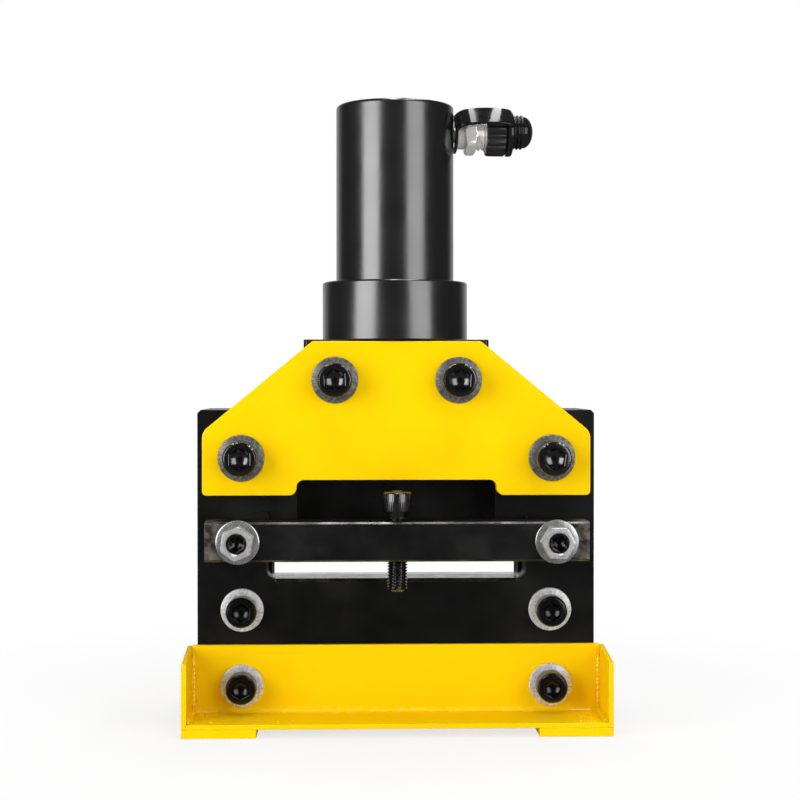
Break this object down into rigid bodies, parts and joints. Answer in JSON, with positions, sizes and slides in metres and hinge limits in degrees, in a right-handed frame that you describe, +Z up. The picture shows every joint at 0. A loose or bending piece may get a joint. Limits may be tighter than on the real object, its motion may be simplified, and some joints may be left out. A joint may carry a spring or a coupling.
{
  "type": "busbar cutter",
  "caption": "Hydraulic busbar cutter: black plate stack on a yellow base, slanted sliding blade driven by an upright cylinder, hold-down bar and capped quick coupler.",
  "frame": {"origin": "on the ground, in the middle of the object's box", "axes": "+Z up, +X to the right, +Y to the back; the hold-down bar is on the -Y side"},
  "size_m": [0.252, 0.146, 0.378],
  "materials": {
    "yellow_paint": "semi-gloss enamel on plate, slightly uneven along edges and welds",
    "blackened_steel": "satin black oxide on ground plate, lighter along worn edges",
    "cylinder_black": "smooth satin black with soft strip reflections",
    "screw_black": "black oxide of hardened screws, slightly oily",
    "zinc_plate": "bright zinc plating with fine wear",
    "grey_washer": "matt grey hardened washers with a fine turned grain",
    "blade_steel": "ground tool steel",
    "bright_rod": "hard chromed and polished",
    "machined_steel": "turned or milled, bare, lightly oiled",
    "spring_steel": "drawn wire, oiled",
    "gland_bronze": "turned bronze",
    "seal_rubber": "moulded, matt, oiled",
    "seal_plastic": "smooth moulded polyurethane",
    "guide_plastic": "filled plastic strip",
    "nickel_plate": "nickel plated, warm, with polished turned rings",
    "cap_plastic": "moulded, ribbed, low sheen",
    "strap_plastic": "soft glossy strap with broad highlights"
  },
  "bodies": {
    "frame": {"front_base_tray": "yellow_paint", "rear_base_tray": "yellow_paint", "base_end_plates": "yellow_paint", "foot_pads": "yellow_paint", "front_body_plate": "blackened_steel", "rear_body_plate": "blackened_steel", "left_guide_bar": "blackened_steel", "right_guide_bar": "blackened_steel", "lower_spacer": "blackened_steel", "fixed_blade": "blade_steel", "fixed_blade_screws": "screw_black", "body_screws": "screw_black", "base_screws": "screw_black", "stack_washers": "zinc_plate", "stack_nuts": "zinc_plate", "front_yoke_plate": "yellow_paint", "rear_yoke_plate": "yellow_paint", "yoke_screws": "screw_black", "yoke_washers": "grey_washer", "head_block": "cylinder_black", "cylinder_collar": "cylinder_black", "cylinder_barrel": "cylinder_black", "gland_bush": "gland_bronze", "gland_oring": "seal_rubber", "rod_wiper": "seal_plastic", "return_spring": "spring_steel", "hold_down_bar": "blackened_steel", "bar_spacers": "blackened_steel", "bar_studs": "screw_black", "bar_flange_nuts": "zinc_plate", "coupler_nipple": "nickel_plate", "poppet_retainer": "machined_steel"},
    "ram_unit": {"ram": "blackened_steel", "moving_blade": "blade_steel", "moving_blade_screws": "screw_black", "rod_cross_pin": "machined_steel", "piston_rod": "bright_rod", "piston": "machined_steel", "piston_seal": "seal_plastic", "piston_guide_ring": "guide_plastic", "piston_nut": "zinc_plate"},
    "hold_screw": {"hold_down_screw": "screw_black"},
    "cap": {"dust_cap": "cap_plastic"},
    "strap": {"cap_strap": "strap_plastic"},
    "poppet": {"coupler_poppet": "machined_steel", "poppet_spring": "spring_steel"}
  },
  "joints": [
    {"name": "ram_stroke", "type": "slide", "parent": "frame", "child": "ram_unit", "axis": [0, 0, -1], "range_m": [0, 0.02], "stiffness_N_per_m": 20000, "springref_m": -0.01, "deforming": ["return_spring"]},
    {"name": "hold_screw_travel", "type": "slide", "parent": "frame", "child": "hold_screw", "axis": [0, 0, -1], "range_m": [-0.016, 0.005]},
    {"name": "cap_spin", "type": "hinge", "parent": "frame", "child": "cap", "pos_m": [0, 0, 0.3615], "axis": [0.9976, 0.0698, 0], "continuous": true},
    {"name": "strap_swing", "type": "hinge", "parent": "frame", "child": "strap", "pos_m": [0, 0, 0.3615], "axis": [0.9976, 0.0698, 0], "continuous": true},
    {"name": "poppet_travel", "type": "slide", "parent": "frame", "child": "poppet", "axis": [-0.9976, -0.0698, 0], "range_m": [0, 0.003], "stiffness_N_per_m": 300, "springref_m": -0.002}
  ]
}
